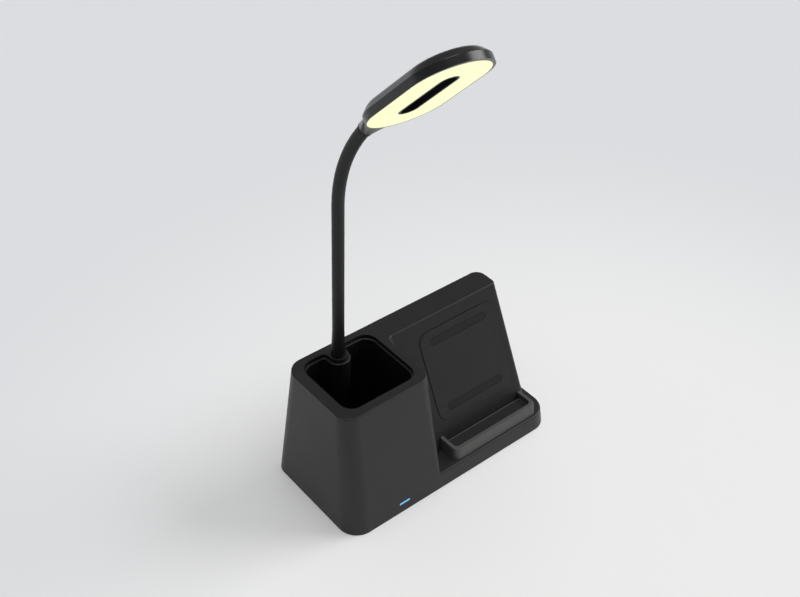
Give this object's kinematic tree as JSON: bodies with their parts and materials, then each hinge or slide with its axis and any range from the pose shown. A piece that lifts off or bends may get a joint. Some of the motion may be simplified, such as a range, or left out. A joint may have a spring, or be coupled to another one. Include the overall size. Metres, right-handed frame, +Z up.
{
  "type": "desk lamp with pen holder",
  "caption": "Black desk lamp: a tapered pen cup and a leaning wireless charging stand on one base, with a bendable neck and an oblong lit head with a slot.",
  "frame": {"origin": "on the table under the middle of the base, at the middle foot", "axes": "+Z up, +X to the right seen from the front, +Y to the rear"},
  "size_m": [0.171, 0.1062, 0.3248],
  "materials": {
    "black_shell": "fine matte moulded plastic",
    "black_liner": "matte moulded plastic",
    "head_black": "satin plastic",
    "rubber_black": "matte rubber",
    "steel": "plated steel",
    "copper": "enamelled copper",
    "ferrite": "sintered ferrite",
    "board_green": "coated circuit board",
    "aluminium_board": "white coated aluminium board",
    "white_resin": "clear resin over phosphor",
    "diffuser": "milky diffuser, lit warm",
    "blue_light": "blue light bar"
  },
  "bodies": {
    "base": {"housing": "black_shell", "pen_cup": "black_liner", "bottom_plate": "black_liner", "rubber_feet": "rubber_black", "plate_screws": "steel", "ballast": "steel", "phone_tray": "black_shell", "tray_pad": "rubber_black", "backrest_panel": "black_liner", "backrest_pads": "rubber_black", "charging_coil": "copper", "ferrite": "ferrite", "coil_frame": "black_liner", "coil_screws": "steel", "light_bar": "blue_light", "light_bar_led": "white_resin", "main_board": "board_green", "board_screws": "steel", "board_parts": "black_liner", "usb_socket": "steel", "charger_board": "board_green", "touch_plate": "copper", "stem_foot": "rubber_black", "stem_nut": "steel", "neck_sleeve_0": "rubber_black", "neck_link_0": "steel"},
    "neck_1": {"neck_sleeve_1": "rubber_black", "neck_link_1": "steel"},
    "neck_2": {"neck_sleeve_2": "rubber_black", "neck_link_2": "steel"},
    "neck_3": {"neck_sleeve_3": "rubber_black", "neck_link_3": "steel"},
    "neck_4": {"neck_sleeve_4": "rubber_black", "neck_link_4": "steel"},
    "neck_5": {"neck_sleeve_5": "rubber_black", "neck_link_5": "steel"},
    "neck_6": {"neck_sleeve_6": "rubber_black", "neck_link_6": "steel"},
    "neck_7": {"neck_sleeve_7": "rubber_black", "neck_link_7": "steel"},
    "head": {"neck_sleeve_8": "rubber_black", "neck_link_8": "steel", "neck_collar": "black_shell", "head_shell": "head_black", "diffuser": "diffuser", "slot_trim": "black_liner", "led_board": "aluminium_board", "leds": "white_resin", "head_screws": "steel"}
  },
  "joints": [
    {"name": "neck_nod_1", "type": "hinge", "parent": "base", "child": "neck_1", "pos_m": [-0.0482, 0.02205, 0.116], "axis": [0.9848, 0.1736, 0], "range_deg": [-15, 15]},
    {"name": "neck_sway_2", "type": "hinge", "parent": "neck_1", "child": "neck_2", "pos_m": [-0.0482, 0.02205, 0.13564], "axis": [0.1736, -0.9848, 0], "range_deg": [-15, 15]},
    {"name": "neck_nod_3", "type": "hinge", "parent": "neck_2", "child": "neck_3", "pos_m": [-0.0482, 0.02205, 0.15528], "axis": [0.9848, 0.1736, 0], "range_deg": [-15, 15]},
    {"name": "neck_sway_4", "type": "hinge", "parent": "neck_3", "child": "neck_4", "pos_m": [-0.0482, 0.02205, 0.17492], "axis": [0.1736, -0.9848, 0], "range_deg": [-15, 15]},
    {"name": "neck_nod_5", "type": "hinge", "parent": "neck_4", "child": "neck_5", "pos_m": [-0.0482, 0.02205, 0.19456], "axis": [0.9848, 0.1736, 0], "range_deg": [-15, 15]},
    {"name": "neck_sway_6", "type": "hinge", "parent": "neck_5", "child": "neck_6", "pos_m": [-0.04798, 0.02083, 0.21413], "axis": [0.1714, -0.9722, -0.1597], "range_deg": [-15, 15]},
    {"name": "neck_nod_7", "type": "hinge", "parent": "neck_6", "child": "neck_7", "pos_m": [-0.0471, 0.01583, 0.23306], "axis": [0.9848, 0.1736, 0], "range_deg": [-15, 15]},
    {"name": "neck_sway_8", "type": "hinge", "parent": "neck_7", "child": "head", "pos_m": [-0.04557, 0.00716, 0.25058], "axis": [0.1465, -0.8307, -0.5371], "range_deg": [-15, 15]}
  ]
}
